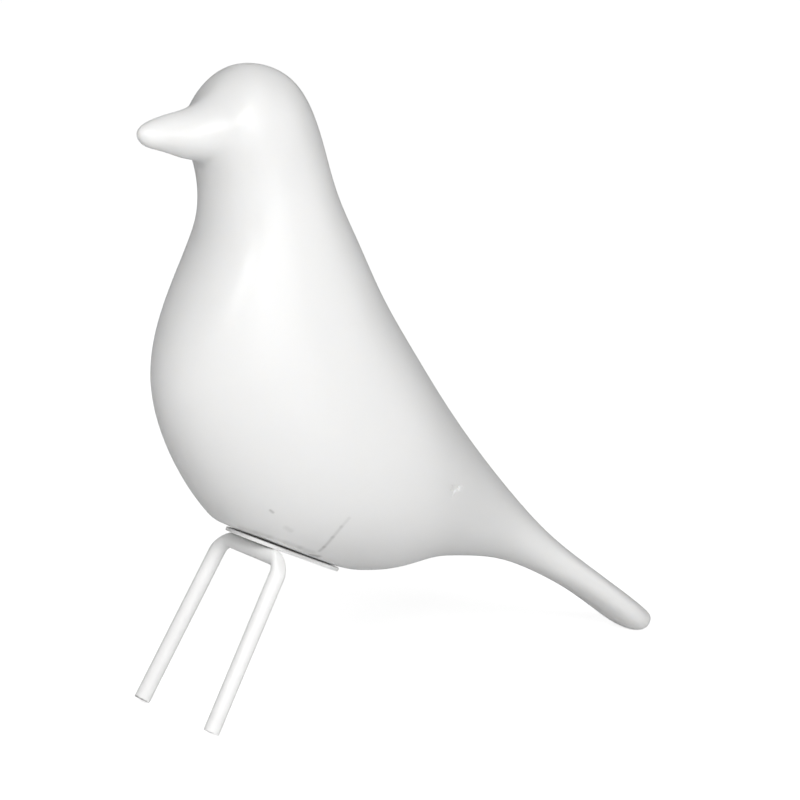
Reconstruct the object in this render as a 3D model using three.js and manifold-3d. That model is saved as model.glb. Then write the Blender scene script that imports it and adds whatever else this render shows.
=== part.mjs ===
// A glazed porcelain bird that stands on a bent wire and on the tip of its tail.
// Millimetres, Z up. The bird faces -Y and its left side is +X. The origin is under the middle
// of its box, on the ground.
import * as THREE from 'three';
import { mergeVertices } from 'three/addons/utils/BufferGeometryUtils.js';
import Module from 'manifold-3d';

const wasm = await Module();
wasm.setup();

// Driving dimensions
const BIRD_HEIGHT = 200; // the free form of the body is given as shares of this
const WIRE_DIAMETER = 5;
const LEG_LENGTH = 55.6; // from the crossbar's line to the end of a leg
const LEG_SPACING = 32.7; // between the legs where their lines meet the crossbar's
const LEG_SPLAY = THREE.MathUtils.degToRad(3.4); // each leg, outwards
const LEG_RAKE = THREE.MathUtils.degToRad(4.9); // the wire's plane, forwards from square to the plate
const BEND_RADIUS = 5; // of the wire's middle line
const PLATE_LENGTH = 40;
const PLATE_WIDTH = 22;
const PLATE_THICKNESS = 1.2;
const CROSSBAR_AHEAD = 10.2; // of the plate's middle, along the plate
const WELD_FLAT = 0.5; // how deep the crossbar's top is pressed flat where the plate is welded on
const SEAT_PITCH = THREE.MathUtils.degToRad(25.2); // of the flat under the belly, front end up
const JOINT_GAP = 0.3; // between pieces that touch
const REST_FLAT = 0.4; // how much is ground off the three points that it stands on

// How finely the curved surfaces are divided
const AROUND = 48;
const STEPS_PER_SECTION = 3;
const WIRE_SIDES = 12;
const WIRE_STEPS = 72;
const PLATE_END_STEPS = 16;
const SAME_POINT = 1e-3; // points closer than this are one

// The blocks that grind surfaces flat, as shares of the height. The belly's is wider than the belly
// and stops short of the tail, and each reaches below everything that it takes off.
const BELLY_BLOCK_SIDE = 0.4;
const GROUND_BLOCK_SIDE = 2;
const BLOCK_DEPTH = 0.15;

// Colours
const GLAZE_WHITE = new THREE.MeshStandardMaterial({ color: 0xf1f0ed, roughness: 0.16, metalness: 0 });
const WIRE_WHITE = new THREE.MeshStandardMaterial({ color: 0xeeeeec, roughness: 0.35, metalness: 0 });
const PLATE_WHITE = new THREE.MeshStandardMaterial({ color: 0xe9e9e7, roughness: 0.4, metalness: 0 });

// Control sections of the body, from the tip of the tail over the back to the tip of the beak.
// Each has a point of the top line and one of the underline, back and up from the middle of the
// seat, and half a width, all as shares of the height. Then come how much fuller it is below, and
// the power of its outline: 2 is an ellipse, more is squarer and less is keener at top and bottom.
const SECTIONS = [
  [0.702, -0.224, 0.702, -0.224, 0.000, 0.00, 2.2],
  [0.684, -0.207, 0.665, -0.247, 0.045, 0.00, 2.4],
  [0.632, -0.166, 0.627, -0.221, 0.053, 0.00, 2.5],
  [0.561, -0.111, 0.556, -0.164, 0.046, 0.00, 2.4],
  [0.488, -0.052, 0.472, -0.113, 0.041, 0.00, 2.2],
  [0.422, 0.020, 0.395, -0.076, 0.051, 0.02, 2.0],
  [0.359, 0.092, 0.318, -0.062, 0.078, 0.04, 2.0],
  [0.300, 0.164, 0.247, -0.050, 0.109, 0.06, 2.0],
  [0.246, 0.238, 0.173, -0.063, 0.139, 0.07, 2.0],
  [0.196, 0.315, 0.080, -0.046, 0.159, 0.07, 2.0],
  [0.147, 0.395, -0.068, -0.004, 0.164, 0.05, 2.0],
  [0.112, 0.478, -0.169, 0.115, 0.152, 0.03, 2.0],
  [0.077, 0.548, -0.231, 0.263, 0.128, 0.00, 2.0],
  [0.061, 0.617, -0.196, 0.375, 0.101, 0.00, 2.0],
  [0.038, 0.684, -0.132, 0.477, 0.089, 0.00, 2.0],
  [-0.001, 0.738, -0.131, 0.563, 0.088, 0.00, 2.0],
  [-0.083, 0.758, -0.143, 0.605, 0.083, 0.00, 1.9],
  [-0.122, 0.714, -0.151, 0.613, 0.057, 0.00, 1.8],
  [-0.158, 0.691, -0.179, 0.618, 0.036, 0.00, 1.8],
  [-0.200, 0.688, -0.210, 0.633, 0.025, 0.00, 1.9],
  [-0.239, 0.679, -0.247, 0.642, 0.019, 0.00, 2.0],
  [-0.258, 0.666, -0.258, 0.666, 0.000, 0.00, 2.0],
];

const wireRadius = WIRE_DIAMETER / 2;
const crossbarTop = wireRadius - WELD_FLAT; // the weld's flat, above the crossbar's line

// Joins and cuts

function solidOf(geometry) {
  const bare = geometry.clone();
  bare.deleteAttribute('normal');
  bare.deleteAttribute('uv');
  const merged = mergeVertices(bare, SAME_POINT);
  return new wasm.Manifold(new wasm.Mesh({
    numProp: 3,
    vertProperties: new Float32Array(merged.attributes.position.array),
    triVerts: new Uint32Array(merged.index.array),
  }));
}

function geometryOf(solid) {
  const mesh = solid.getMesh();
  const geometry = new THREE.BufferGeometry();
  geometry.setAttribute('position', new THREE.BufferAttribute(mesh.vertProperties, 3));
  geometry.setIndex(new THREE.BufferAttribute(mesh.triVerts, 1));
  geometry.computeVertexNormals();
  return geometry;
}

function cut(geometry, tool) {
  return geometryOf(solidOf(geometry).subtract(solidOf(tool)));
}

// A square block whose top face lies on the plane through the origin, turned by the pitch about X
function blockUnder(sideShare, pitch) {
  const side = sideShare * BIRD_HEIGHT;
  const depth = BLOCK_DEPTH * BIRD_HEIGHT;
  const block = new THREE.BoxGeometry(side, side, depth);
  block.translate(0, 0, -depth / 2);
  block.rotateX(pitch);
  return block;
}

// The porcelain body

// A column of the control sections, followed by a uniform cubic B-spline. Past its ends the column
// is mirrored: with sign 1 the curve leaves the end level, with sign -1 it passes through zero.
function followColumn(values, position, sign) {
  const last = values.length - 1;
  const first = Math.min(Math.floor(position), last - 1);
  const u = position - first;
  const weights = [(1 - u) ** 3, 3 * u ** 3 - 6 * u ** 2 + 4, -3 * u ** 3 + 3 * u ** 2 + 3 * u + 1, u ** 3];
  let sum = 0;
  weights.forEach((weight, k) => {
    const index = first - 1 + k;
    const mirrored = index < 0 || index > last;
    const inside = index < 0 ? -index : index > last ? 2 * last - index : index;
    sum += weight * values[inside] * (mirrored ? sign : 1);
  });
  return sum / 6;
}

function sectionAt(position) {
  const column = (pick, sign) => followColumn(SECTIONS.map(pick), position, sign);
  return {
    middleBack: column((s) => (s[0] + s[2]) / 2, 1) * BIRD_HEIGHT,
    middleUp: column((s) => (s[1] + s[3]) / 2, 1) * BIRD_HEIGHT,
    halfBack: column((s) => (s[0] - s[2]) / 2, -1) * BIRD_HEIGHT,
    halfUp: column((s) => (s[1] - s[3]) / 2, -1) * BIRD_HEIGHT,
    halfWidth: column((s) => s[4], -1) * BIRD_HEIGHT,
    fuller: column((s) => s[5], 1),
    power: column((s) => s[6], 1),
  };
}

function pointOn(section, turn) {
  const round = (value) => Math.sign(value) * Math.abs(value) ** (2 / section.power);
  const up = round(Math.cos(turn));
  const side = round(Math.sin(turn));
  return [
    section.halfWidth * side * (1 - section.fuller * up),
    section.middleBack + section.halfBack * up,
    section.middleUp + section.halfUp * up,
  ];
}

function loftedBody() {
  const rings = (SECTIONS.length - 1) * STEPS_PER_SECTION - 1;
  const points = [];
  for (let ring = 1; ring <= rings; ring += 1) {
    const section = sectionAt(ring / STEPS_PER_SECTION);
    for (let k = 0; k < AROUND; k += 1) {
      points.push(...pointOn(section, (k / AROUND) * 2 * Math.PI));
    }
  }
  const tailTip = points.length / 3;
  points.push(...pointOn(sectionAt(0), 0));
  const beakTip = points.length / 3;
  points.push(...pointOn(sectionAt(SECTIONS.length - 1), 0));

  const faces = [];
  for (let k = 0; k < AROUND; k += 1) {
    const next = (k + 1) % AROUND;
    faces.push(tailTip, k, next);
    for (let ring = 0; ring < rings - 1; ring += 1) {
      const here = ring * AROUND;
      const there = here + AROUND;
      faces.push(here + k, there + k, here + next);
      faces.push(here + next, there + k, there + next);
    }
    const lastRing = (rings - 1) * AROUND;
    faces.push(beakTip, lastRing + next, lastRing + k);
  }
  const geometry = new THREE.BufferGeometry();
  geometry.setAttribute('position', new THREE.Float32BufferAttribute(points, 3));
  geometry.setIndex(faces);
  return geometry;
}

// The belly is ground flat under the body for the plate.
function bodyGeometry() {
  return cut(loftedBody(), blockUnder(BELLY_BLOCK_SIDE, -SEAT_PITCH));
}

// The wire: one leg up, a crossbar and one leg down, in the XZ plane with the crossbar through
// the origin. The legs end square.

function wireLine() {
  const down = new THREE.Vector3(Math.sin(LEG_SPLAY), 0, -Math.cos(LEG_SPLAY));
  const corner = new THREE.Vector3(LEG_SPACING / 2, 0, 0);
  const bendTurn = Math.PI / 2 - LEG_SPLAY;
  const bendReach = BEND_RADIUS * Math.tan(bendTurn / 2);
  const handle = (4 / 3) * Math.tan(bendTurn / 4) * BEND_RADIUS;
  const legEnd = corner.clone().addScaledVector(down, LEG_LENGTH);
  const legTop = corner.clone().addScaledVector(down, bendReach);
  const legHandle = legTop.clone().addScaledVector(down, -handle);
  const barEnd = new THREE.Vector3(corner.x - bendReach, 0, 0);
  const barHandle = new THREE.Vector3(barEnd.x + handle, 0, 0);
  const opposite = (point) => new THREE.Vector3(-point.x, point.y, point.z);
  const line = new THREE.CurvePath();
  line.add(new THREE.LineCurve3(legEnd, legTop));
  line.add(new THREE.CubicBezierCurve3(legTop, legHandle, barHandle, barEnd));
  line.add(new THREE.LineCurve3(barEnd, opposite(barEnd)));
  line.add(new THREE.CubicBezierCurve3(
    opposite(barEnd), opposite(barHandle), opposite(legHandle), opposite(legTop),
  ));
  line.add(new THREE.LineCurve3(opposite(legTop), opposite(legEnd)));
  return line;
}

function wireGeometry() {
  const section = new THREE.Shape();
  for (let k = 0; k < WIRE_SIDES; k += 1) {
    const turn = ((k + 0.5) / WIRE_SIDES) * 2 * Math.PI;
    const place = [wireRadius * Math.cos(turn), wireRadius * Math.sin(turn)];
    if (k === 0) section.moveTo(...place);
    else section.lineTo(...place);
  }
  return new THREE.ExtrudeGeometry(section, { steps: WIRE_STEPS, extrudePath: wireLine() });
}

// The weld's flat, square to the plate's underside. The wire is turned back by the rake to cut it.
function flattenedWire() {
  const weld = new THREE.BoxGeometry(PLATE_WIDTH, PLATE_WIDTH, WIRE_DIAMETER);
  weld.translate(0, 0, crossbarTop + WIRE_DIAMETER / 2);
  weld.rotateX(LEG_RAKE);
  return cut(wireGeometry(), weld);
}

// The mounting plate: flat, with half-round ends, its top face at Z = 0 and its length along Y

function plateGeometry() {
  const endRadius = PLATE_WIDTH / 2;
  const endMiddle = PLATE_LENGTH / 2 - endRadius;
  const outline = new THREE.Shape();
  outline.absarc(0, endMiddle, endRadius, 0, Math.PI, false);
  outline.absarc(0, -endMiddle, endRadius, Math.PI, 2 * Math.PI, false);
  const plate = new THREE.ExtrudeGeometry(outline, {
    depth: PLATE_THICKNESS,
    bevelEnabled: false,
    curveSegments: PLATE_END_STEPS,
  });
  plate.translate(0, 0, -PLATE_THICKNESS);
  return plate;
}

// The ornament, put together about the middle of the seat

function named(name, geometry, material) {
  const mesh = new THREE.Mesh(geometry, material);
  mesh.name = name;
  return mesh;
}

const body = named('bird_body', bodyGeometry(), GLAZE_WHITE);
const wire = named('leg_wire', flattenedWire(), WIRE_WHITE);
const plate = named('mounting_plate', plateGeometry(), PLATE_WHITE);

const underBelly = new THREE.Group();
underBelly.rotation.x = -SEAT_PITCH;
plate.position.z = -JOINT_GAP;
wire.position.set(0, -CROSSBAR_AHEAD, -JOINT_GAP - PLATE_THICKNESS - JOINT_GAP - crossbarTop);
wire.rotation.x = -LEG_RAKE;
underBelly.add(plate, wire);

const bird = new THREE.Group();
bird.add(body, underBelly);

function cornersOf(mesh) {
  mesh.updateWorldMatrix(true, false);
  const { position } = mesh.geometry.attributes;
  return Array.from({ length: position.count }, (_, k) => (
    new THREE.Vector3().fromBufferAttribute(position, k).applyMatrix4(mesh.matrixWorld)));
}

// It leans until the ends of both legs and the tail's underside are on the ground.
function standUp() {
  const foot = cornersOf(wire).reduce((low, p) => (p.z < low.z ? p : low));
  const slopes = cornersOf(body)
    .filter((p) => p.y > foot.y + PLATE_LENGTH)
    .map((p) => Math.atan2(p.z - foot.z, p.y - foot.y));
  bird.rotation.x = -Math.min(...slopes);
  const lowest = Math.min(...cornersOf(wire).map((p) => p.z));
  bird.position.z = -lowest - REST_FLAT;
  bird.updateMatrixWorld(true);
}

// The three points that it stands on are ground flat.
function grindFlat(mesh) {
  const ground = blockUnder(GROUND_BLOCK_SIDE, 0);
  ground.applyMatrix4(mesh.matrixWorld.clone().invert());
  mesh.geometry = cut(mesh.geometry, ground);
}

standUp();
grindFlat(body);
grindFlat(wire);

const box = new THREE.Box3().setFromObject(bird, true);
bird.position.y -= (box.min.y + box.max.y) / 2;

export default bird;
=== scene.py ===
# %% [markdown]
# A glazed porcelain bird on wire legs
#
# The real object is a slip-cast bird, hollow and sealed, under a thick white glaze. Its belly is
# ground flat where a small steel plate is glued on. One wire, bent twice and welded under that
# plate, makes both legs, and the tip of the tail is the third point that it stands on.
#
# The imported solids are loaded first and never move. Each piece below is a finer version of one of
# them, in metres, with +Z up, the beak towards -Y and the bird's left side towards +X.

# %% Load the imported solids
import math

import bpy
import numpy as np
from mathutils import Matrix, Quaternion, Vector


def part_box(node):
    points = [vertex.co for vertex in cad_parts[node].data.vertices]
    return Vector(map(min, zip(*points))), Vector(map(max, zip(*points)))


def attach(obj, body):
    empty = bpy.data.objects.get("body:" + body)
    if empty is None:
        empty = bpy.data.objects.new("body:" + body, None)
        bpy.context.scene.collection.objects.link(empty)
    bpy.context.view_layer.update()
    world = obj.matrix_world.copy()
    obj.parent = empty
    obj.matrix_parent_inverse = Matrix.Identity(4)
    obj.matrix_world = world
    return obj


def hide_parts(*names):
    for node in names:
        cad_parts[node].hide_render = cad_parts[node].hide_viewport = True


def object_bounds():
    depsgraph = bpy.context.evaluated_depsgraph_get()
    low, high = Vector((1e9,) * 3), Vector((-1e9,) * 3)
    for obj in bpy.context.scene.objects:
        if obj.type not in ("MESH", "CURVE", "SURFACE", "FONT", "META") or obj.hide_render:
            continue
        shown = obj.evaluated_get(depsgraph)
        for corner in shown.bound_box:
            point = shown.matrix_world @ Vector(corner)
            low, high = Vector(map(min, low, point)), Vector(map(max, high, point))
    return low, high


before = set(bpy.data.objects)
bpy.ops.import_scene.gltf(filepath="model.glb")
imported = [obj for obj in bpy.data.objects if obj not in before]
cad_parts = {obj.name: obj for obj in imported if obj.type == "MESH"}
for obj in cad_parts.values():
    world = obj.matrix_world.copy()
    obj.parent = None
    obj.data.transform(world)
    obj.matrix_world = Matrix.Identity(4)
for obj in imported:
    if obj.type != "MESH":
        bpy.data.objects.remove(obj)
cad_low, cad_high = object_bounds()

MM = 0.001
print("CAD box in mm:", [round(side / MM, 1) for side in cad_high - cad_low])

# %% [markdown]
# The camera
#
# The photograph looks at the bird's left side, from a little ahead of it and a little above. The
# far leg is hardly smaller than the near one, so the camera stood well back with a long lens. A
# zoomed camera from 1.5 m repeats that. It rolls by a hair, because the bird stands a little
# off centre in the picture and the photograph wasn't quite level.

# %% Set the camera
FRAME_PIXELS = 800
SENSOR_WIDTH = 36.0
LENS = 224.2
VIEW_AZIMUTH = math.radians(55.40)
VIEW_ELEVATION = math.radians(14.18)
VIEW_ROLL = math.radians(0.14)
VIEW_DISTANCE = 1.5
AIM = Vector((20.4, -15.4, 93.8)) * MM

towards_camera = Vector((
    math.cos(VIEW_ELEVATION) * math.sin(VIEW_AZIMUTH),
    -math.cos(VIEW_ELEVATION) * math.cos(VIEW_AZIMUTH),
    math.sin(VIEW_ELEVATION),
))
camera = bpy.data.objects.new("camera", bpy.data.cameras.new("camera"))
camera.data.sensor_width = SENSOR_WIDTH
camera.data.lens = LENS
camera.data.clip_start = 0.1
camera.data.clip_end = 50
camera.location = AIM + towards_camera * VIEW_DISTANCE
camera.rotation_mode = "QUATERNION"
level = (-towards_camera).to_track_quat("-Z", "Y")
camera.rotation_quaternion = level @ Quaternion((0, 0, 1), VIEW_ROLL)
bpy.context.scene.collection.objects.link(camera)
bpy.context.scene.camera = camera
print("camera at", [round(x, 3) for x in camera.location])

# %% A ray through a place in the picture
def ray_through(pixel):
    """Where the camera is, and the direction in which it sees a pixel of the 800 by 800 frame."""
    x, y = pixel
    half = FRAME_PIXELS / 2
    reach = SENSOR_WIDTH / LENS / FRAME_PIXELS
    seen = Vector(((x - half) * reach, (half - y) * reach, -1))
    return camera.location.copy(), (camera.rotation_quaternion @ seen).normalized()


print("the centre is seen along", [round(x, 3) for x in ray_through((400, 400))[1]])

# %% [markdown]
# The shape of the bird
#
# A mould maker describes such a bird by its profile and a few cross-sections. Each row here is
# one section: a point of the back's line, a point of the belly's line, and half the width, as
# shares of 200 mm from the middle of the seat under the belly. A cubic B-spline runs through all
# of them. It never kinks, which is what makes a glazed surface look right, because gloss shows
# every unevenness. A hand-pushed mesh would need far more points for the same calm surface.

# %% The control sections
BIRD_HEIGHT = 200.0

# back and up of the top line, back and up of the underline, half width, fuller below, squareness
SECTIONS = np.array([
    [0.702, -0.224, 0.702, -0.224, 0.000, 0.00, 2.2],
    [0.684, -0.207, 0.665, -0.247, 0.045, 0.00, 2.4],
    [0.632, -0.166, 0.627, -0.221, 0.053, 0.00, 2.5],
    [0.561, -0.111, 0.556, -0.164, 0.046, 0.00, 2.4],
    [0.488, -0.052, 0.472, -0.113, 0.041, 0.00, 2.2],
    [0.422, 0.020, 0.395, -0.076, 0.051, 0.02, 2.0],
    [0.359, 0.092, 0.318, -0.062, 0.078, 0.04, 2.0],
    [0.300, 0.164, 0.247, -0.050, 0.109, 0.06, 2.0],
    [0.246, 0.238, 0.173, -0.063, 0.139, 0.07, 2.0],
    [0.196, 0.315, 0.080, -0.046, 0.159, 0.07, 2.0],
    [0.147, 0.395, -0.068, -0.004, 0.164, 0.05, 2.0],
    [0.112, 0.478, -0.169, 0.115, 0.152, 0.03, 2.0],
    [0.077, 0.548, -0.231, 0.263, 0.128, 0.00, 2.0],
    [0.061, 0.617, -0.196, 0.375, 0.101, 0.00, 2.0],
    [0.038, 0.684, -0.132, 0.477, 0.089, 0.00, 2.0],
    [-0.001, 0.738, -0.131, 0.563, 0.088, 0.00, 2.0],
    [-0.083, 0.758, -0.143, 0.605, 0.083, 0.00, 1.9],
    [-0.122, 0.714, -0.151, 0.613, 0.057, 0.00, 1.8],
    [-0.158, 0.691, -0.179, 0.618, 0.036, 0.00, 1.8],
    [-0.200, 0.688, -0.210, 0.633, 0.025, 0.00, 1.9],
    [-0.239, 0.679, -0.247, 0.642, 0.019, 0.00, 2.0],
    [-0.258, 0.666, -0.258, 0.666, 0.000, 0.00, 2.0],
])
LAST_SECTION = len(SECTIONS) - 1
print(len(SECTIONS), "sections from the tip of the tail to the tip of the beak")

# %% The spline through the sections
def spline_weights(positions, sign):
    """How much each section counts at each position. Past both ends the sections are mirrored,
    with sign 1 for a middle that leaves the end level and -1 for a size that ends at nothing."""
    weights = np.zeros((len(positions), len(SECTIONS)))
    first = np.minimum(positions.astype(int), LAST_SECTION - 1)
    u = positions - first
    shares = ((1 - u) ** 3, 3 * u**3 - 6 * u**2 + 4, -3 * u**3 + 3 * u**2 + 3 * u + 1, u**3)
    row = np.arange(len(positions))
    for k, share in enumerate(shares):
        index = first - 1 + k
        mirrored = (index < 0) | (index > LAST_SECTION)
        inside = np.where(index > LAST_SECTION, 2 * LAST_SECTION - index, np.abs(index))
        weights[row, inside] += np.where(mirrored, sign, 1) * share / 6
    return weights


def rounded(values, power):
    """A sine or cosine, for an outline that is squarer past the power 2 and keener below it."""
    return np.sign(values) * np.abs(values) ** (2 / power)


def bird_surface(positions, turns):
    """Points of the skin in mm, one ring of turns for each position, from the seat's middle."""
    middle = spline_weights(positions, 1) @ ((SECTIONS[:, 0:2] + SECTIONS[:, 2:4]) / 2)
    half = spline_weights(positions, -1) @ ((SECTIONS[:, 0:2] - SECTIONS[:, 2:4]) / 2)
    width = spline_weights(positions, -1) @ SECTIONS[:, 4:5]
    fuller = spline_weights(positions, 1) @ SECTIONS[:, 5:6]
    power = spline_weights(positions, 1) @ SECTIONS[:, 6:7]
    up = rounded(np.cos(turns)[None, :], power)
    side = rounded(np.sin(turns)[None, :], power)
    x = width * side * (1 - fuller * up)
    y = middle[:, :1] + half[:, :1] * up
    z = middle[:, 1:] + half[:, 1:] * up
    return np.stack([x, y, z], axis=-1) * BIRD_HEIGHT


FULL_TURN = 2 * math.pi
coarse_skin = bird_surface(np.linspace(0, LAST_SECTION, 200), np.linspace(0, FULL_TURN, 60))
print("the skin's reach in mm:", np.ptp(coarse_skin, axis=(0, 1)).round(1))

# %% [markdown]
# How it stands
#
# The plate and the wire are measured from the seat, because that is where they are fixed. The
# wire's legs and the tail then decide how the whole thing leans: it tips until the ends of both
# legs and the tail's underside are down. The three points are ground by a few tenths of a
# millimetre, so that it stands without rocking.

# %% The sizes of the plate and the wire
WIRE_RADIUS = 2.5
LEG_LENGTH = 55.6
LEG_SPACING = 32.7
LEG_SPLAY = math.radians(3.4)
LEG_RAKE = math.radians(4.9)
BEND_RADIUS = 5.0
PLATE_LENGTH = 40.0
PLATE_WIDTH = 22.0
PLATE_THICKNESS = 1.2
CROSSBAR_AHEAD = 10.2
WELD_FLAT = 0.5
SEAT_PITCH = math.radians(25.2)
JOINT_GAP = 0.3
REST_FLAT = 0.4

plate_top = -JOINT_GAP
plate_underside = plate_top - PLATE_THICKNESS
crossbar_height = plate_underside - JOINT_GAP - (WIRE_RADIUS - WELD_FLAT)
seat_turn = Matrix.Rotation(-SEAT_PITCH, 4, "X")
wire_place = (seat_turn
              @ Matrix.Translation((0, -CROSSBAR_AHEAD, crossbar_height))
              @ Matrix.Rotation(-LEG_RAKE, 4, "X"))
leg_down = Vector((math.sin(LEG_SPLAY), 0, -math.cos(LEG_SPLAY)))
leg_end = Vector((LEG_SPACING / 2, 0, 0)) + leg_down * LEG_LENGTH
print("the crossbar's line is", round(-crossbar_height, 2), "mm under the seat")

# %% Lean it and set it down
end_down = (wire_place.to_3x3() @ leg_down).normalized()
end_edge = Vector((0, 0, -1)) - end_down * (-end_down.z)
foot = wire_place @ leg_end + end_edge.normalized() * WIRE_RADIUS

TAIL_SECTIONS = 6
TAIL_RINGS = 600
TAIL_AROUND = 96
tail = bird_surface(np.linspace(0, TAIL_SECTIONS, TAIL_RINGS), np.linspace(0, FULL_TURN, TAIL_AROUND))
slopes = np.arctan2(tail[..., 2] - foot.z, tail[..., 1] - foot.y)
lean = Matrix.Rotation(-slopes.min(), 4, "X")
drop = (lean @ foot).z + REST_FLAT

body_low, body_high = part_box("bird_body")
beak = lean @ Vector(bird_surface(np.array([float(LAST_SECTION)]), np.zeros(1))[0, 0])
backwards = body_low.y / MM - beak.y
seat_place = Matrix.Translation((0, backwards, -drop)) @ lean
print("it leans by", round(math.degrees(-slopes.min()), 2), "degrees, seat's middle in mm:",
      [round(x, 2) for x in seat_place.translation])


def stood_up(points):
    """Points in mm from the seat's middle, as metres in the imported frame."""
    matrix = np.array(seat_place)
    return (points @ matrix[:3, :3].T + matrix[:3, 3]) * MM


# %% A mesh from rings of points
def ringed_mesh(name, rings, first_tip=None, last_tip=None):
    """A closed skin over rings of equal length, with a tip or one flat face at each end."""
    count, around = rings.shape[:2]
    points = list(map(tuple, rings.reshape(-1, 3)))
    faces = []
    for ring in range(count - 1):
        for k in range(around):
            here, there = ring * around, (ring + 1) * around
            after = (k + 1) % around
            faces.append((here + k, here + after, there + after, there + k))
    last = (count - 1) * around
    if first_tip is None:
        faces.append(tuple(reversed(range(around))))
    else:
        points.append(tuple(first_tip))
        faces += [(len(points) - 1, (k + 1) % around, k) for k in range(around)]
    if last_tip is None:
        faces.append(tuple(last + k for k in range(around)))
    else:
        points.append(tuple(last_tip))
        faces += [(len(points) - 1, last + k, last + (k + 1) % around) for k in range(around)]
    mesh = bpy.data.meshes.new(name)
    mesh.from_pydata(points, [], faces)
    mesh.validate()
    return mesh


def piece_from(name, mesh):
    """An object at the origin that shows the mesh, with smooth shading."""
    mesh.polygons.foreach_set("use_smooth", [True] * len(mesh.polygons))
    piece = bpy.data.objects.new(name, mesh)
    bpy.context.scene.collection.objects.link(piece)
    print(name, "has", len(mesh.polygons), "faces")
    return piece


# %% [markdown]
# Pressing a form flat
#
# The belly is ground flat for the plate, the wire is squeezed flat where it is welded and outside
# its bends, and its ends are filed level. All four are the same change: what stands past a plane
# is pushed back to it, and the edge rolls over softly, because nothing real has a knife edge. A
# boolean cut would leave a sharp rim and long thin faces, which show as streaks under a glaze.

# %% Press points flat
def rounded_maximum(heights, reach):
    """The larger of the height and zero, with the corner between them rolled over the reach."""
    rolled = (heights + reach) ** 2 / (4 * reach)
    return np.where(heights > reach, heights, np.where(heights < -reach, 0.0, rolled))


def pressed(points, outward, level, edge):
    """The points, with what stands past the level along a direction pushed back to it."""
    outward = np.array(outward)
    past = points @ outward - level
    return points - (past + rounded_maximum(-past, edge))[..., None] * outward


# %% [markdown]
# Finding a mark in the picture on the skin
#
# The marks of age are placed where the photograph shows them. A ray through a pixel is followed,
# and the nearest point of the bird's left side is searched for on a grid that shrinks around it.
# That gives the place as a position along the sections and a turn around them, which is what the
# mesh needs, and it works without a mesh, because the skin is a formula.

# %% Search the skin along a ray
SEARCH_ROUNDS = 7
SEARCH_SHRINK = 0.25
SEARCH_GRID = np.linspace(-1, 1, 81)


def on_skin(pixel, surface=bird_surface):
    """Position, turn and place in mm of the point that the camera sees at a pixel."""
    eye, direction = (np.array(part) for part in ray_through(pixel))
    middle = np.array([LAST_SECTION / 2, math.pi / 2])
    reach = middle.copy()
    for _ in range(SEARCH_ROUNDS):
        positions = np.clip(middle[0] + reach[0] * SEARCH_GRID, 0, LAST_SECTION)
        turns = np.clip(middle[1] + reach[1] * SEARCH_GRID, 0, math.pi)
        points = surface(positions, turns)
        miss = np.linalg.norm(np.cross(stood_up(points) - eye, direction), axis=-1)
        row, column = np.unravel_index(miss.argmin(), miss.shape)
        middle = np.array([positions[row], turns[column]])
        reach *= SEARCH_SHRINK
    return middle[0], middle[1], points[row, column]


print("the picture's centre falls on the skin at", on_skin((400, 400))[2].round(1), "mm")

# %% [markdown]
# The chip
#
# On the flank a flake of glaze has come off, about 3 mm across, in the shape of a small star. A
# bump in the material would be missing from the exported mesh, so the skin itself is pushed in
# there, along strokes that taper away from a middle. How deep it is at each point is kept with the
# mesh, and the glaze turns into the matt body by it.

# %% The chip in the glaze
# Places in the picture, then millimetres. The taper is how much narrower a stroke is at its tip,
# and a steepness over 1 leaves a flat floor between its sloping walls.
CHIP_CENTRE = (456.4, 488.2)
CHIP_TIPS = ((461.6, 485.1), (452.6, 485.4), (451.8, 489.8), (451.8, 495.8), (460.2, 490.6))
CHIP_DEPTH = 0.5
CHIP_HALF_WIDTH = 0.95
CHIP_REACH = 2.6
CHIP_TAPER = 0.8
CHIP_STEEPNESS = 1.6

chip_position, chip_turn, chip_middle = on_skin(CHIP_CENTRE)
chip_tips = [on_skin(tip)[2] for tip in CHIP_TIPS]
print("chip at section", round(chip_position, 2), "and", round(math.degrees(chip_turn), 1), "degrees")


def along_stroke(points, start, end):
    """How far along a straight stroke each point lies, from 0 to 1, and its distance from it."""
    stroke = end - start
    share = np.clip((points - start) @ stroke / (stroke @ stroke), 0, 1)
    return share, np.linalg.norm(points - start - share[..., None] * stroke, axis=-1)


def chipped_share(points):
    """How deep the chip is at each point, from 0 to 1: a star of tapering strokes."""
    deepest = np.zeros(points.shape[:-1])
    for tip in chip_tips:
        share, away = along_stroke(points, chip_middle, tip)
        half_width = CHIP_HALF_WIDTH * (1 - CHIP_TAPER * share)
        inside = np.clip(CHIP_STEEPNESS * (1 - away / half_width), 0, 1)
        deepest = np.maximum(deepest, inside * inside * (3 - 2 * inside))
    return deepest


# %% [markdown]
# The skin, drawn finely
#
# The belly isn't ground quite parallel to the plate. The two touch over an inset patch, and a
# narrow gap stays open round the rim, wider at the front left, which shows as the dark line
# between them. The rings and the columns of the mesh lie evenly, and closer together only at the
# chip, which would otherwise need a fine mesh everywhere.

# %% Grind the belly flat
SEAT_EDGE = 1.3
RIM_SHARE = 0.5
GAP_AT_REAR = 0.25
GAP_AT_FRONT_LEFT = 0.85
TOUCHING_HALF = np.array([7.0, 15.5])
seat_normal = np.array([0, math.sin(SEAT_PITCH), math.cos(SEAT_PITCH)])
seat_along = np.array([0, math.cos(SEAT_PITCH), -math.sin(SEAT_PITCH)])


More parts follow.
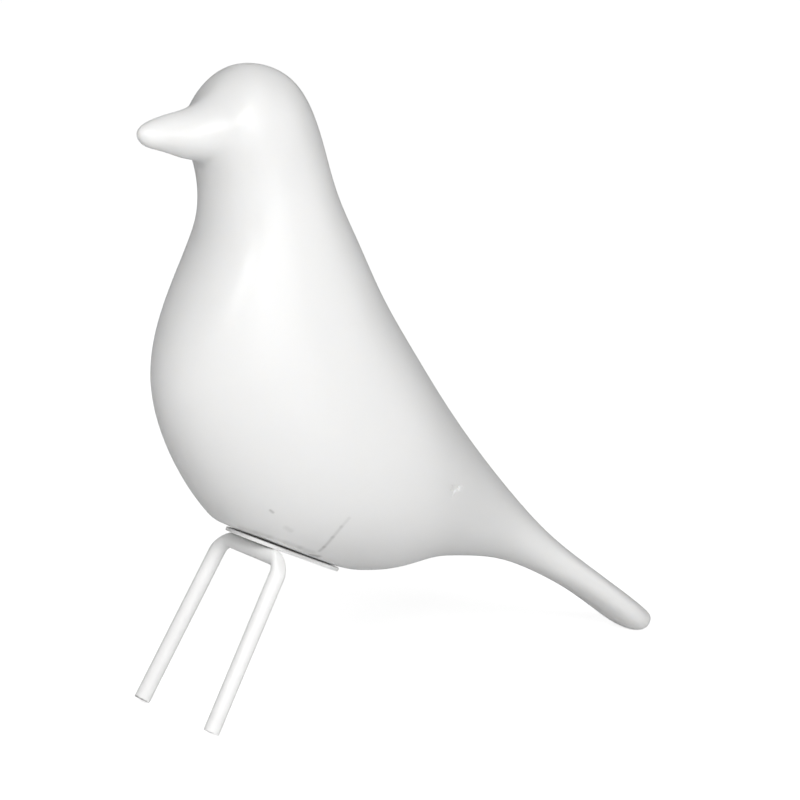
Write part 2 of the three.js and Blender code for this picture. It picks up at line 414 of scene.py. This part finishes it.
def open_gap(points):
    """The height of the belly's flat over the plate in mm, nothing where the two touch."""
    along = points @ seat_along
    towards_front = np.clip(0.5 - along / PLATE_LENGTH, 0, 1)
    towards_left = np.clip(0.5 + points[..., 0] / PLATE_WIDTH, 0, 1)
    reach = np.hypot(points[..., 0] / TOUCHING_HALF[0], along / TOUCHING_HALF[1])
    rim = np.clip((reach - 1) / RIM_SHARE, 0, 1)
    return rim * (GAP_AT_REAR + (GAP_AT_FRONT_LEFT - GAP_AT_REAR) * towards_front * towards_left)


def ground_surface(positions, turns):
    """The skin with its belly ground down to just above the plate."""
    points = bird_surface(positions, turns)
    near_belly = (points[..., 1] < PLATE_LENGTH) & (points[..., 2] < PLATE_LENGTH)
    level = -plate_top - open_gap(points)
    return np.where(near_belly[..., None], pressed(points, -seat_normal, level, SEAT_EDGE), points)


front_left = np.array([PLATE_WIDTH / 2, 0, 0]) - seat_along * PLATE_LENGTH / 2
print("open gap over the plate's front left in mm:", round(float(open_gap(front_left)), 2))

# %% Where the rings and the columns go
AROUND = 150
STEPS_PER_SECTION = 16
FINE_STEPS = 38


def finer_near(values, middle, reach):
    """Evenly spaced values, packed closely within the reach of one of them."""
    kept = values[np.abs(values - middle) > reach]
    return np.sort(np.concatenate([kept, np.linspace(middle - reach, middle + reach, FINE_STEPS)]))


# How far the skin goes in a small step along the sections and round them, at the chip.
STEP = 0.01
beside = bird_surface(chip_position + np.array([0, STEP]), chip_turn + np.array([0, STEP]))
per_section = np.linalg.norm(beside[1, 0] - beside[0, 0]) / STEP
per_radian = np.linalg.norm(beside[0, 1] - beside[0, 0]) / STEP
positions = finer_near(np.linspace(0, LAST_SECTION, LAST_SECTION * STEPS_PER_SECTION + 1),
                       chip_position, CHIP_REACH / per_section)
turns = finer_near(np.linspace(0, FULL_TURN, AROUND, endpoint=False),
                   chip_turn, CHIP_REACH / per_radian)
print(len(positions), "rings of", len(turns), "points")

# %% Draw the body
inwards = np.cross(beside[1, 0] - beside[0, 0], beside[0, 1] - beside[0, 0])
inwards *= -np.sign(inwards[0]) / np.linalg.norm(inwards)
plain_skin = ground_surface(positions, turns)
chipped = chipped_share(plain_skin)
skin = stood_up(plain_skin + CHIP_DEPTH * chipped[..., None] * inwards)
skin = np.clip(skin, np.array(cad_low), np.array(cad_high))
body = piece_from("porcelain_bird", ringed_mesh(
    "porcelain_bird", skin[1:-1], first_tip=skin[0, 0], last_tip=skin[-1, 0]))
share_of_chip = body.data.attributes.new("chipped", "FLOAT", "POINT")
share_of_chip.data.foreach_set("value", np.append(chipped[1:-1].ravel(), (0, 0)))
print("body box in mm:", (skin.min(axis=(0, 1)) / MM).round(2), (skin.max(axis=(0, 1)) / MM).round(2))

# %% [markdown]
# The wire
#
# A wire is a circle carried along a path, so it is made with geometry nodes: four corners become
# a curve, a fillet bends it at the two inner corners, and a round section is swept along it. The
# bend, the wire and the number of sides stay inputs of the tree.

# %% Small helpers for node trees
def linked(tree, kind, place, **settings):
    """A new node at that place, with its properties set by name."""
    node = tree.nodes.new(kind)
    node.location = place
    for name, value in settings.items():
        setattr(node, name, value)
    return node


def new_input(tree, name, kind, value=None):
    """A named input of a tree, with its default."""
    socket = tree.interface.new_socket(name, in_out="INPUT", socket_type=kind)
    if value is not None:
        socket.default_value = value
    return socket


def inputs_of(tree):
    """The named inputs of a tree."""
    return [item for item in tree.interface.items_tree if item.in_out == "INPUT"]


# %% The tree that bends a wire
def bent_wire_tree():
    """Corner points in, a round wire with filleted corners out."""
    tree = bpy.data.node_groups.new("Bent wire", "GeometryNodeTree")
    new_input(tree, "Corners", "NodeSocketGeometry")
    new_input(tree, "Wire radius", "NodeSocketFloat", 0.0025)
    new_input(tree, "Bend radius", "NodeSocketFloat", 0.005)
    new_input(tree, "Step", "NodeSocketFloat", 0.0006)
    new_input(tree, "Sides", "NodeSocketInt", 40)
    new_input(tree, "Finish", "NodeSocketMaterial")
    tree.interface.new_socket("Wire", in_out="OUTPUT", socket_type="NodeSocketGeometry")
    given = linked(tree, "NodeGroupInput", (-900, 0))
    curve = linked(tree, "GeometryNodeMeshToCurve", (-700, 0))
    fillet = linked(tree, "GeometryNodeFilletCurve", (-500, 0))
    steps = linked(tree, "GeometryNodeResampleCurve", (-300, 0))
    section = linked(tree, "GeometryNodeCurvePrimitiveCircle", (-300, -250))
    sweep = linked(tree, "GeometryNodeCurveToMesh", (-100, 0))
    real = linked(tree, "GeometryNodeRealizeInstances", (100, 0))
    finish = linked(tree, "GeometryNodeSetMaterial", (300, 0))
    result = linked(tree, "NodeGroupOutput", (500, 0))
    fillet.mode = "POLY"
    fillet.inputs["Count"].default_value = 24
    steps.mode = "LENGTH"
    sweep.inputs["Fill Caps"].default_value = True
    tree.links.new(given.outputs["Corners"], curve.inputs["Mesh"])
    tree.links.new(curve.outputs["Curve"], fillet.inputs["Curve"])
    tree.links.new(given.outputs["Bend radius"], fillet.inputs["Radius"])
    tree.links.new(fillet.outputs["Curve"], steps.inputs["Curve"])
    tree.links.new(given.outputs["Step"], steps.inputs["Length"])
    tree.links.new(given.outputs["Sides"], section.inputs["Resolution"])
    tree.links.new(given.outputs["Wire radius"], section.inputs["Radius"])
    tree.links.new(steps.outputs["Curve"], sweep.inputs["Curve"])
    tree.links.new(section.outputs["Curve"], sweep.inputs["Profile Curve"])
    tree.links.new(sweep.outputs["Mesh"], real.inputs["Geometry"])
    tree.links.new(real.outputs["Geometry"], finish.inputs["Geometry"])
    tree.links.new(given.outputs["Finish"], finish.inputs["Material"])
    tree.links.new(finish.outputs["Geometry"], result.inputs["Wire"])
    return tree


def made_by(tree, name, start, **values):
    """The plain mesh that a tree makes from a starting mesh, with its inputs set by name."""
    holder = bpy.data.objects.new(name + "_maker", start)
    bpy.context.scene.collection.objects.link(holder)
    modifier = holder.modifiers.new("tree", "NODES")
    modifier.node_group = tree
    for item in inputs_of(tree):
        given_as = item.name.replace(" ", "_").lower()
        if given_as in values:
            modifier[item.identifier] = values[given_as]
    graph = bpy.context.evaluated_depsgraph_get()
    mesh = bpy.data.meshes.new_from_object(holder.evaluated_get(graph), depsgraph=graph)
    mesh.name = name
    bpy.data.objects.remove(holder)
    return mesh


bent_wire = bent_wire_tree()
print("a bent wire is made from:", [item.name for item in inputs_of(bent_wire)])

# %% [markdown]
# The finishes
#
# Glaze and paint have one thing in common: neither is quite even. A kiln leaves a glaze with a
# slow drift in tone and gloss, and a sprayed coat has a fine ripple. One node group makes that
# drift, and each material sets its own size and strength.

# %% The drift that every finish shares
def drift_group():
    """Slow changes of tone and gloss, and a fine ripple, from one seedless noise field."""
    tree = bpy.data.node_groups.new("Uneven finish", "ShaderNodeTree")
    new_input(tree, "Light tone", "NodeSocketColor", (0.9, 0.9, 0.9, 1))
    new_input(tree, "Deep tone", "NodeSocketColor", (0.8, 0.8, 0.8, 1))
    new_input(tree, "Drift scale", "NodeSocketFloat", 30.0)
    new_input(tree, "Ripple scale", "NodeSocketFloat", 400.0)
    new_input(tree, "Smoothest", "NodeSocketFloat", 0.1)
    new_input(tree, "Roughest", "NodeSocketFloat", 0.2)
    for name, kind in (("Tone", "NodeSocketColor"), ("Roughness", "NodeSocketFloat"),
                       ("Ripple", "NodeSocketFloat")):
        tree.interface.new_socket(name, in_out="OUTPUT", socket_type=kind)
    given = linked(tree, "NodeGroupInput", (-700, 0))
    where = linked(tree, "ShaderNodeTexCoord", (-700, 300))
    drift = linked(tree, "ShaderNodeTexNoise", (-450, 200))
    ripple = linked(tree, "ShaderNodeTexNoise", (-450, -200))
    tone = linked(tree, "ShaderNodeMix", (-150, 250), data_type="RGBA")
    gloss = linked(tree, "ShaderNodeMapRange", (-150, 0))
    result = linked(tree, "NodeGroupOutput", (150, 0))
    drift.inputs["Detail"].default_value = 3.0
    ripple.inputs["Detail"].default_value = 2.0
    gloss.interpolation_type = "SMOOTHSTEP"
    gloss.inputs["From Min"].default_value = 0.2
    gloss.inputs["From Max"].default_value = 0.8
    tree.links.new(where.outputs["Object"], drift.inputs["Vector"])
    tree.links.new(where.outputs["Object"], ripple.inputs["Vector"])
    tree.links.new(given.outputs["Drift scale"], drift.inputs["Scale"])
    tree.links.new(given.outputs["Ripple scale"], ripple.inputs["Scale"])
    tree.links.new(drift.outputs["Fac"], tone.inputs["Factor"])
    tree.links.new(given.outputs["Light tone"], tone.inputs["A"])
    tree.links.new(given.outputs["Deep tone"], tone.inputs["B"])
    tree.links.new(drift.outputs["Fac"], gloss.inputs["Value"])
    tree.links.new(given.outputs["Smoothest"], gloss.inputs["To Min"])
    tree.links.new(given.outputs["Roughest"], gloss.inputs["To Max"])
    tree.links.new(tone.outputs["Result"], result.inputs["Tone"])
    tree.links.new(gloss.outputs["Result"], result.inputs["Roughness"])
    tree.links.new(ripple.outputs["Fac"], result.inputs["Ripple"])
    return tree


uneven_finish = drift_group()
print("an uneven finish is set by:", [item.name for item in inputs_of(uneven_finish)])

# %% [markdown]
# Stains and painted shade along a line
#
# The hairline and the smudges in the glaze are stains with a place. The darker band along the
# belly's rim over the plate, the dark line beside the weld under the plate and the dark rim of the
# right leg's end are painted shade with a place, where these turn away from the light. One group
# draws either along a straight line between two points: it measures how far the surface is from the
# line and fades the line's colour in over the width. Lines with a bend are chained from several,
# each one taking the tone that the one before puts out.

# %% A stain along a straight line
def stain_and_shade_group():
    """A tone in, and out again with a soft line of stain or painted shade drawn between two points."""
    tree = bpy.data.node_groups.new("Stain and painted shade along a line", "ShaderNodeTree")
    new_input(tree, "Tone", "NodeSocketColor", (0.8, 0.8, 0.8, 1))
    # The Stain colour is a real stain for the glaze's marks, and painted shade for the belly's rim, the
    # weld and the leg's end.
    new_input(tree, "Stain", "NodeSocketColor", (0.5, 0.5, 0.5, 1))
    new_input(tree, "From", "NodeSocketVector")
    new_input(tree, "To", "NodeSocketVector")
    new_input(tree, "Width", "NodeSocketFloat", 0.0005)
    new_input(tree, "Strength", "NodeSocketFloat", 1.0)
    tree.interface.new_socket("Tone", in_out="OUTPUT", socket_type="NodeSocketColor")
    given = linked(tree, "NodeGroupInput", (-1100, 0))
    where = linked(tree, "ShaderNodeTexCoord", (-1100, 300))
    away = linked(tree, "ShaderNodeVectorMath", (-850, 250), operation="SUBTRACT")
    line = linked(tree, "ShaderNodeVectorMath", (-850, 0), operation="SUBTRACT")
    along = linked(tree, "ShaderNodeVectorMath", (-650, 250), operation="DOT_PRODUCT")
    length = linked(tree, "ShaderNodeVectorMath", (-650, 0), operation="DOT_PRODUCT")
    share = linked(tree, "ShaderNodeMath", (-450, 150), operation="DIVIDE", use_clamp=True)
    nearest = linked(tree, "ShaderNodeVectorMath", (-250, 50), operation="SCALE")
    miss = linked(tree, "ShaderNodeVectorMath", (-50, 150), operation="DISTANCE")
    fade = linked(tree, "ShaderNodeMapRange", (150, 150), interpolation_type="SMOOTHSTEP")
    mix = linked(tree, "ShaderNodeMix", (350, 50), data_type="RGBA")
    result = linked(tree, "NodeGroupOutput", (550, 0))
    tree.links.new(where.outputs["Object"], away.inputs[0])
    tree.links.new(given.outputs["From"], away.inputs[1])
    tree.links.new(given.outputs["To"], line.inputs[0])
    tree.links.new(given.outputs["From"], line.inputs[1])
    tree.links.new(away.outputs["Vector"], along.inputs[0])
    tree.links.new(line.outputs["Vector"], along.inputs[1])
    tree.links.new(line.outputs["Vector"], length.inputs[0])
    tree.links.new(line.outputs["Vector"], length.inputs[1])
    tree.links.new(along.outputs["Value"], share.inputs[0])
    tree.links.new(length.outputs["Value"], share.inputs[1])
    tree.links.new(line.outputs["Vector"], nearest.inputs[0])
    tree.links.new(share.outputs["Value"], nearest.inputs["Scale"])
    tree.links.new(nearest.outputs["Vector"], miss.inputs[0])
    tree.links.new(away.outputs["Vector"], miss.inputs[1])
    fade.inputs["From Min"].default_value = 0.0
    tree.links.new(miss.outputs["Value"], fade.inputs["Value"])
    tree.links.new(given.outputs["Width"], fade.inputs["From Max"])
    tree.links.new(given.outputs["Strength"], fade.inputs["To Min"])
    fade.inputs["To Max"].default_value = 0.0
    tree.links.new(fade.outputs["Result"], mix.inputs["Factor"])
    tree.links.new(given.outputs["Tone"], mix.inputs["A"])
    tree.links.new(given.outputs["Stain"], mix.inputs["B"])
    tree.links.new(mix.outputs["Result"], result.inputs["Tone"])
    return tree


stain_and_shade_along_line = stain_and_shade_group()
print("a stain is set by:", [item.name for item in inputs_of(stain_and_shade_along_line)])

# %% The three finishes
def finished(name, light, deep, drift_scale, ripple_scale, smoothest, roughest, ripple_height):
    """A white finish with the shared drift in its tone, gloss and relief."""
    material = bpy.data.materials.new(name)
    material.use_nodes = True
    tree = material.node_tree
    shader = tree.nodes["Principled BSDF"]
    drift = linked(tree, "ShaderNodeGroup", (-700, 0), node_tree=uneven_finish)
    bump = linked(tree, "ShaderNodeBump", (-300, -300))
    drift.inputs["Light tone"].default_value = (*light, 1)
    drift.inputs["Deep tone"].default_value = (*deep, 1)
    drift.inputs["Drift scale"].default_value = drift_scale
    drift.inputs["Ripple scale"].default_value = ripple_scale
    drift.inputs["Smoothest"].default_value = smoothest
    drift.inputs["Roughest"].default_value = roughest
    bump.inputs["Distance"].default_value = ripple_height
    bump.inputs["Strength"].default_value = 0.5
    tree.links.new(drift.outputs["Tone"], shader.inputs["Base Color"])
    tree.links.new(drift.outputs["Roughness"], shader.inputs["Roughness"])
    tree.links.new(drift.outputs["Ripple"], bump.inputs["Height"])
    tree.links.new(bump.outputs["Normal"], shader.inputs["Normal"])
    return material, shader


def stain_and_shade_line(shader, start, end, width, colour, strength):
    """One more line of stain or painted shade on a finish, after the ones that it has."""
    tree = shader.id_data
    tone = shader.inputs["Base Color"].links[0].from_socket
    stain = linked(tree, "ShaderNodeGroup", (-500, 400), node_tree=stain_and_shade_along_line)
    stain.inputs["Stain"].default_value = (*colour, 1)
    stain.inputs["From"].default_value = start
    stain.inputs["To"].default_value = end
    stain.inputs["Width"].default_value = width
    stain.inputs["Strength"].default_value = strength
    tree.links.new(tone, stain.inputs["Tone"])
    tree.links.new(stain.outputs["Tone"], shader.inputs["Base Color"])


porcelain, glaze = finished(
    "white_glaze", light=(0.86, 0.86, 0.856), deep=(0.84, 0.84, 0.834), drift_scale=18.0,
    ripple_scale=90.0, smoothest=0.28, roughest=0.34, ripple_height=0.02 * MM)
glaze.inputs["Specular IOR Level"].default_value = 0.4
glaze.inputs["Coat Weight"].default_value = 0.1
glaze.inputs["Coat Roughness"].default_value = 0.12
glaze.inputs["Subsurface Weight"].default_value = 0.7
glaze.inputs["Subsurface Radius"].default_value = (1.0, 0.97, 0.92)
glaze.inputs["Subsurface Scale"].default_value = 3.2 * MM
wire_paint, wire_shader = finished(
    "white_wire_paint", light=(0.94, 0.94, 0.935), deep=(0.9, 0.9, 0.892), drift_scale=60.0,
    ripple_scale=500.0, smoothest=0.3, roughest=0.42, ripple_height=0.01 * MM)
plate_paint, _ = finished(
    "white_plate_paint", light=(0.95, 0.95, 0.945), deep=(0.92, 0.92, 0.912), drift_scale=60.0,
    ripple_scale=500.0, smoothest=0.35, roughest=0.45, ripple_height=0.003 * MM)
body.data.materials.append(porcelain)
print("finishes:", [material.name for material in bpy.data.materials])

# %% The marks on the glaze, and the painted shade along the belly's rim
# Places in the picture, and widths in millimetres.
# One grey for the stains of the hairline and the smudges, and for the painted shade along the belly's
# rim.
GREY_STAIN_AND_SHADE = (0.46, 0.46, 0.45)
HAIRLINE = ((349.0, 518.3), (341.3, 526.9), (332.7, 537.2), (324.0, 547.1), (319.6, 551.0))
HAIRLINE_STRENGTHS = (0.22, 0.34, 0.48, 0.55)
HAIRLINE_WIDTH = 1.0
# Painted shade: a darker band along the belly's rim over the plate, where the rim turns down into the
# gap.
RIM_SHADE = ((240.0, 527.4), (255.0, 532.4), (270.0, 537.2),
            (285.0, 542.2), (300.0, 547.6), (313.0, 552.4))
RIM_SHADE_WIDTH = 1.7
RIM_SHADE_STRENGTH = 0.22

# start, end, width, strength
SMUDGES = (((270.4, 510.4), (272.9, 512.4), 0.8, 0.62),
           ((286.0, 527.8), (290.8, 530.8), 1.5, 0.24),
           ((311.0, 555.0), (318.0, 556.4), 1.7, 0.85))


def skin_place(pixel):
    """The place in metres of the point of the skin that the camera sees at a pixel."""
    return tuple(float(x) for x in stood_up(on_skin(pixel, ground_surface)[2]))


hairline_lengths = [(start, end, HAIRLINE_WIDTH, strength)
                    for start, end, strength in zip(HAIRLINE, HAIRLINE[1:], HAIRLINE_STRENGTHS)]
# The lengths of painted shade along the belly's rim.
rim_shade_lengths = [(start, end, RIM_SHADE_WIDTH, RIM_SHADE_STRENGTH)
                for start, end in zip(RIM_SHADE, RIM_SHADE[1:])]
for start, end, width, strength in (*hairline_lengths, *rim_shade_lengths, *SMUDGES):
    stain_and_shade_line(glaze, skin_place(start), skin_place(end), width * MM, GREY_STAIN_AND_SHADE, strength)

# %% The bare body in the chip
BISCUIT = (0.885, 0.885, 0.875)
BISCUIT_ROUGHNESS = 0.6


def bared_where_chipped(material, shader):
    """Let the chipped attribute turn the glaze into the matt white body under it."""
    tree = material.node_tree
    chip = linked(tree, "ShaderNodeAttribute", (-300, 700), attribute_name="chipped")
    for name, bare, kind in (("Base Color", (*BISCUIT, 1), "RGBA"),
                             ("Roughness", BISCUIT_ROUGHNESS, "FLOAT")):
        glazed = shader.inputs[name].links[0].from_socket
        mix = linked(tree, "ShaderNodeMix", (-100, 500), data_type=kind)
        ends = [socket for socket in mix.inputs if socket.name in "AB" and socket.enabled]
        tree.links.new(chip.outputs["Fac"], mix.inputs["Factor"])
        tree.links.new(glazed, ends[0])
        ends[1].default_value = bare
        tree.links.new([out for out in mix.outputs if out.enabled][0], shader.inputs[name])


bared_where_chipped(porcelain, glaze)
print("marks:", len(hairline_lengths), "lengths of hairline,", len(SMUDGES), "smudges and a chip")

# %% Bend the wire
corner = Vector((LEG_SPACING / 2, 0, 0))
mirrored = Matrix.Diagonal((-1, 1, 1, 1))
corners = [leg_end, corner, mirrored @ corner, mirrored @ leg_end]
wire_start = bpy.data.meshes.new("wire_corners")
wire_start.from_pydata([corner * MM for corner in corners], [(0, 1), (1, 2), (2, 3)], [])
wire_mesh = made_by(bent_wire, "leg_wire_bent", wire_start,
                    wire_radius=WIRE_RADIUS * MM, bend_radius=BEND_RADIUS * MM, finish=wire_paint)

# %% Squeeze its bends, flatten the weld and file its ends
BEND_FLAT = 1.5
BEND_EDGE = 1.7
WELD_EDGE = 0.12
FILED_EDGE = 0.05
FILED_BEVEL = 0.25
FILED_BEVEL_STEPS = 3
FILED_BEVEL_ANGLE = math.radians(50)


def points_changed(mesh, change):
    """Pass the points of a mesh, in mm, through a function."""
    points = np.empty(len(mesh.vertices) * 3)
    mesh.vertices.foreach_get("co", points)
    mesh.vertices.foreach_set("co", (change(points.reshape(-1, 3) / MM) * MM).ravel())


bend_turn = math.pi / 2 - LEG_SPLAY
bend_centre = BEND_RADIUS / math.cos(bend_turn / 2)
for side in (1, -1):
    out = Vector((side * math.sin(bend_turn / 2), 0, math.cos(bend_turn / 2)))
    outermost = corner.x * abs(out.x) - bend_centre + BEND_RADIUS + WIRE_RADIUS
    points_changed(wire_mesh, lambda points: pressed(points, out, outermost - BEND_FLAT, BEND_EDGE))

wire_mesh.transform(Matrix.Translation((0, -CROSSBAR_AHEAD * MM, crossbar_height * MM))
                    @ Matrix.Rotation(-LEG_RAKE, 4, "X"))
points_changed(wire_mesh, lambda points: pressed(points, (0, 0, 1), plate_underside, WELD_EDGE))
stand = Matrix.Translation(seat_place.translation * MM) @ lean @ seat_turn
wire_mesh.transform(stand)
points_changed(wire_mesh, lambda points: pressed(points, (0, 0, -1), 0.0, FILED_EDGE))
wire = piece_from("leg_wire_bent", wire_mesh)
edge = wire.modifiers.new("filed edge", "BEVEL")
edge.width = FILED_BEVEL * MM
edge.segments = FILED_BEVEL_STEPS
edge.limit_method = "ANGLE"
edge.angle_limit = FILED_BEVEL_ANGLE

# %% [markdown]
# Painted shade on the wire
#
# Beside the weld the wire's top curves away from the plate's underside into a narrow crevice, and
# the end of the right leg faces down, away from the light. The shade in both is painted on the
# paint in dark grey. They are lines with a place, so the group that stains the glaze draws them
# too, between points that are worked out from the wire's own path.

# %% Paint the shade on the wire
# The dark grey of the painted shade in the crevice by the weld and on the leg's end.
PAINTED_SHADE_GREY = (0.2, 0.2, 0.2)

# Painted shade: the line in the crevice beside the weld, where the wire's top meets the plate, from the
# seat's middle.
WELD_SHADE_HALF = 10.5
WELD_SHADE_BACK = CROSSBAR_AHEAD + 1.1
WELD_SHADE_WIDTH = 1.1
WELD_SHADE_STRENGTH = 0.85

# Painted shade: the rim of the right leg's end, which faces down, as turns in degrees about the leg from
# its left side.
END_SHADE_TURNS = (112, 77, 37, 2)
END_SHADE_WIDTH = 0.8
END_SHADE_STRENGTH = 0.75

# The ends of the painted shade in the crevice beside the weld.
weld_shade_ends = [stand @ (Vector((side * WELD_SHADE_HALF, -WELD_SHADE_BACK, plate_underside)) * MM)
               for side in (-1, 1)]
stain_and_shade_line(wire_shader, *weld_shade_ends, WELD_SHADE_WIDTH * MM, PAINTED_SHADE_GREY, WELD_SHADE_STRENGTH)

# Points round the right leg's end, for its painted shade.
right_foot = mirrored @ (seat_place @ wire_place @ leg_end)
right_down = (mirrored @ ((seat_place @ wire_place).to_3x3() @ leg_down)).normalized()
left_side = (Vector((1, 0, 0)) - right_down.x * right_down).normalized()
back_side = right_down.cross(left_side)
end_shade_rim = [(right_foot + WIRE_RADIUS * (math.cos(turn) * left_side + math.sin(turn) * back_side)) * MM
            for turn in map(math.radians, END_SHADE_TURNS)]
for start, end in zip(end_shade_rim, end_shade_rim[1:]):
    stain_and_shade_line(wire_shader, start, end, END_SHADE_WIDTH * MM, PAINTED_SHADE_GREY, END_SHADE_STRENGTH)
print("painted shade:", len(weld_shade_ends) - 1, "line by the weld and", len(end_shade_rim) - 1, "on a leg's end")

# %% [markdown]
# The plate
#
# The plate is cut from thin sheet and painted, so its edges are soft and its ends are half round.
# It could be a box and two cylinders, joined and bevelled, but the joints would show as creases.
# Instead its outline is one ring, which is repeated up the edge and pulled in where the edge rolls
# over, and the bird's skin over rings closes it.

# %% The plate
END_STEPS = 40
EDGE_STEPS = 13
EDGE_RADIUS = 0.35


def plate_outline(inset, height):
    """A ring round the plate: straight sides and half-round ends, pulled in by the inset."""
    radius = PLATE_WIDTH / 2 - inset
    middle = PLATE_LENGTH / 2 - PLATE_WIDTH / 2
    ring = []
    for end, start in ((1, 0.0), (-1, math.pi)):
        for turn in np.linspace(start, start + math.pi, END_STEPS):
            ring.append((radius * math.cos(turn), end * middle + radius * math.sin(turn), height))
    return ring


def plate_rings():
    """Rings from the underside's flat round both softened edges to the top's flat."""
    rings = []
    for turn in np.linspace(-math.pi / 2, math.pi / 2, EDGE_STEPS):
        inset = EDGE_RADIUS * (1 - math.cos(turn))
        side = (PLATE_THICKNESS / 2 - EDGE_RADIUS) * np.sign(turn) + EDGE_RADIUS * math.sin(turn)
        rings.append(plate_outline(inset, plate_top - PLATE_THICKNESS / 2 + side))
    return np.array(rings)


plate_mesh = ringed_mesh("plate_of_steel", plate_rings() * MM)
plate_mesh.transform(stand)
plate_mesh.materials.append(plate_paint)
plate = piece_from("mounting_plate_soft_edged", plate_mesh)

# %% The pieces ride on the one body and stand for their solids
for piece, node, finish in ((body, "bird_body", "porcelain"),
                            (wire, "leg_wire", "painted_wire"),
                            (plate, "mounting_plate", "painted_plate")):
    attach(piece, "root")
    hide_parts(node)
    print(piece.name, "stands for", node, "in", finish)

# %% [markdown]
# The floor and the light
#
# The bird was photographed in a white room with its light on the right, so its rims turn grey
# and its side nearly burns out, while the floor behind it is plain white. Here a wide key light
# and a nearer side light stand on the right, and three weaker ones fill the rest. A white floor
# lit by these alone would look grey, so it glows a little, and more for the camera than for the
# bird. The room's own glow does the same.

# %% The floor
FLOOR_HALF = 4.0
FLOOR_ALBEDO = 0.6
FLOOR_GLOW = 0.06
FLOOR_GLOW_SEEN = 0.78

floor_mesh = bpy.data.meshes.new("floor")
floor_signs = ((-1, -1), (1, -1), (1, 1), (-1, 1))
floor_mesh.from_pydata([(x * FLOOR_HALF, y * FLOOR_HALF, 0) for x, y in floor_signs], [], [(0, 1, 2, 3)])
floor = bpy.data.objects.new("floor", floor_mesh)
bpy.context.scene.collection.objects.link(floor)
floor_white = bpy.data.materials.new("floor_white")
floor_white.use_nodes = True
floor_tree = floor_white.node_tree
floor_shader = floor_tree.nodes["Principled BSDF"]
floor_shader.inputs["Base Color"].default_value = (FLOOR_ALBEDO, FLOOR_ALBEDO, FLOOR_ALBEDO, 1)
floor_shader.inputs["Roughness"].default_value = 0.9
floor_shader.inputs["Emission Color"].default_value = (1, 1, 1, 1)
floor_mesh.materials.append(floor_white)


def brighter_for_camera(tree, unseen, seen, strength):
    """Feed a strength with one value for the light that a thing gives and one for its look."""
    path = linked(tree, "ShaderNodeLightPath", (-600, -300))
    level = linked(tree, "ShaderNodeMapRange", (-350, -300))
    level.inputs["To Min"].default_value = unseen
    level.inputs["To Max"].default_value = seen
    tree.links.new(path.outputs["Is Camera Ray"], level.inputs["Value"])
    tree.links.new(level.outputs["Result"], strength)


brighter_for_camera(floor_tree, FLOOR_GLOW, FLOOR_GLOW_SEEN, floor_shader.inputs["Emission Strength"])
print("the floor glows by", FLOOR_GLOW, "and for the camera by", FLOOR_GLOW_SEEN)

# %% The lights and the room
LIGHTS_AIM = Vector((0, 0, 0.1))
ROOM_GLOW = 0.095
ROOM_GLOW_SEEN = 1.0


def softbox(name, azimuth, elevation, width, height, power, distance=1.6):
    """A soft light that faces the bird from that side and height, in degrees, metres and watts."""
    a, e = math.radians(azimuth), math.radians(elevation)
    away = Vector((math.sin(a) * math.cos(e), -math.cos(a) * math.cos(e), math.sin(e)))
    lamp = bpy.data.objects.new(name, bpy.data.lights.new(name, "AREA"))
    lamp.data.shape = "RECTANGLE"
    lamp.data.size = width
    lamp.data.size_y = height
    lamp.data.energy = power
    lamp.location = LIGHTS_AIM + away * distance
    lamp.rotation_euler = (-away).to_track_quat("-Z", "Y").to_euler()
    bpy.context.scene.collection.objects.link(lamp)


softbox("key_light", 46, 38, 1.3, 0.7, 16.6)
softbox("side_light", 82, 10, 0.8, 0.8, 4.0, distance=1.0)
softbox("left_fill", -40, 40, 1.2, 1.2, 2.9)
softbox("rear_right_fill", 140, 10, 1.2, 1.2, 4.4)
softbox("rear_left_fill", -135, 35, 1.4, 1.4, 3.2)
world = bpy.data.worlds.new("studio")
world.use_nodes = True
room = world.node_tree.nodes["Background"]
room.inputs["Color"].default_value = (1, 1, 1, 1)
brighter_for_camera(world.node_tree, ROOM_GLOW, ROOM_GLOW_SEEN, room.inputs["Strength"])
bpy.context.scene.world = world
bpy.context.scene.view_settings.view_transform = "Standard"
print("lights in watts:", {light.name: round(light.energy, 1) for light in bpy.data.lights})
